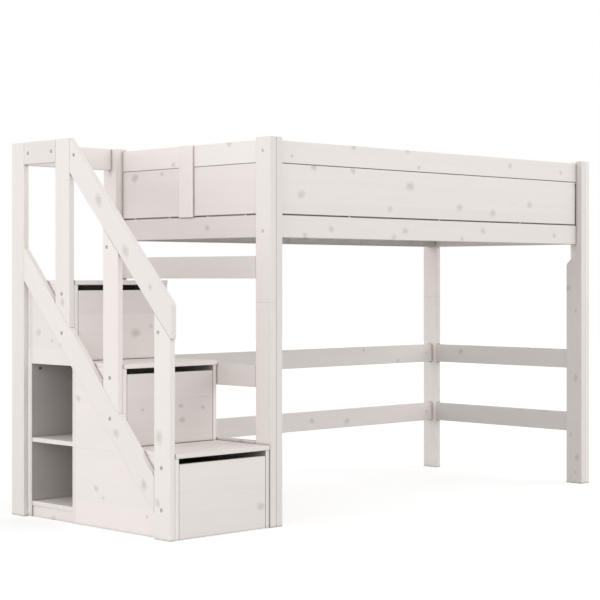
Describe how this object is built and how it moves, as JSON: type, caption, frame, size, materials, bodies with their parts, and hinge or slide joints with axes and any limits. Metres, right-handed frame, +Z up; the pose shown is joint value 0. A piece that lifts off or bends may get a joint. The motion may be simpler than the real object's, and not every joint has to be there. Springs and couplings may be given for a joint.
{
  "type": "loft bed with storage stairs",
  "caption": "Raised single bed of white-washed pine boards with solid guards all round, and a staircase at one end whose steps hold sliding drawers and an open bookcase.",
  "frame": {"origin": "on the floor under the middle of the whole object's outline", "axes": "+X along the bed away from the stairs, +Y from the open front to the back, +Z up"},
  "size_m": [2.57, 1.02, 1.52],
  "materials": {
    "frame_pine": "white-washed knotty pine, matt",
    "carcass_pine": "white-washed knotty pine panel, matt",
    "slat_pine": "white-washed pine slat, planed",
    "drawer_pine": "white-washed pine, thinly stained",
    "fastener_steel": "zinc-plated steel",
    "dowel_wood": "bare beech"
  },
  "bodies": {
    "bed_frame": {"front_left_post_lower": "frame_pine", "front_left_post_upper": "frame_pine", "front_right_post_lower": "frame_pine", "front_right_post_upper": "frame_pine", "back_left_post_lower": "frame_pine", "back_left_post_upper": "frame_pine", "back_right_post_lower": "frame_pine", "back_right_post_upper": "frame_pine", "front_left_inner_board": "frame_pine", "front_right_inner_board": "frame_pine", "front_top_rail": "frame_pine", "front_panel": "frame_pine", "front_bottom_rail": "frame_pine", "back_top_rail": "frame_pine", "back_panel": "frame_pine", "back_bottom_rail": "frame_pine", "left_end_top_rails": "frame_pine", "left_end_panels": "frame_pine", "left_end_stile": "frame_pine", "left_end_bottom_rail": "frame_pine", "right_end_top_rails": "frame_pine", "right_end_panels": "frame_pine", "right_end_stile": "frame_pine", "right_end_bottom_rail": "frame_pine", "left_lower_rails": "frame_pine", "right_lower_rails": "frame_pine", "back_lower_rails": "frame_pine", "slat_ledgers": "frame_pine", "stair_rear_post": "frame_pine", "stair_inner_post": "frame_pine", "stair_short_rail": "frame_pine", "stair_guard_rail": "frame_pine", "stair_upper_baluster": "frame_pine", "stair_lower_baluster": "frame_pine", "stair_newel": "frame_pine", "stair_stringer": "frame_pine", "stair_handrail": "frame_pine", "inner_side_panels": "carcass_pine", "outer_side_panels": "carcass_pine", "stair_back_panel": "carcass_pine", "stair_treads": "carcass_pine", "drawer_floors": "carcass_pine", "bookcase_face": "carcass_pine", "bookcase_divider": "carcass_pine", "bookcase_shelf": "carcass_pine", "bookcase_bottom": "carcass_pine", "bookcase_plinth": "carcass_pine", "slats": "slat_pine", "bed_bolts": "fastener_steel", "bed_barrel_nuts": "fastener_steel", "stair_bolts": "fastener_steel", "stair_barrel_nuts": "fastener_steel", "stair_studs": "fastener_steel", "wooden_dowels": "dowel_wood"},
    "drawer_1": {"drawer_1_front": "carcass_pine", "drawer_1_box": "drawer_pine"},
    "drawer_2": {"drawer_2_front": "carcass_pine", "drawer_2_box": "drawer_pine"},
    "drawer_3": {"drawer_3_front": "carcass_pine", "drawer_3_box": "drawer_pine"}
  },
  "joints": [
    {"name": "drawer_1_slide", "type": "slide", "parent": "bed_frame", "child": "drawer_1", "axis": [0, -1, 0], "range_m": [0, 0.42]},
    {"name": "drawer_2_slide", "type": "slide", "parent": "bed_frame", "child": "drawer_2", "axis": [0, -1, 0], "range_m": [0, 0.18]},
    {"name": "drawer_3_slide", "type": "slide", "parent": "bed_frame", "child": "drawer_3", "axis": [0, -1, 0], "range_m": [0, 0.17]}
  ]
}
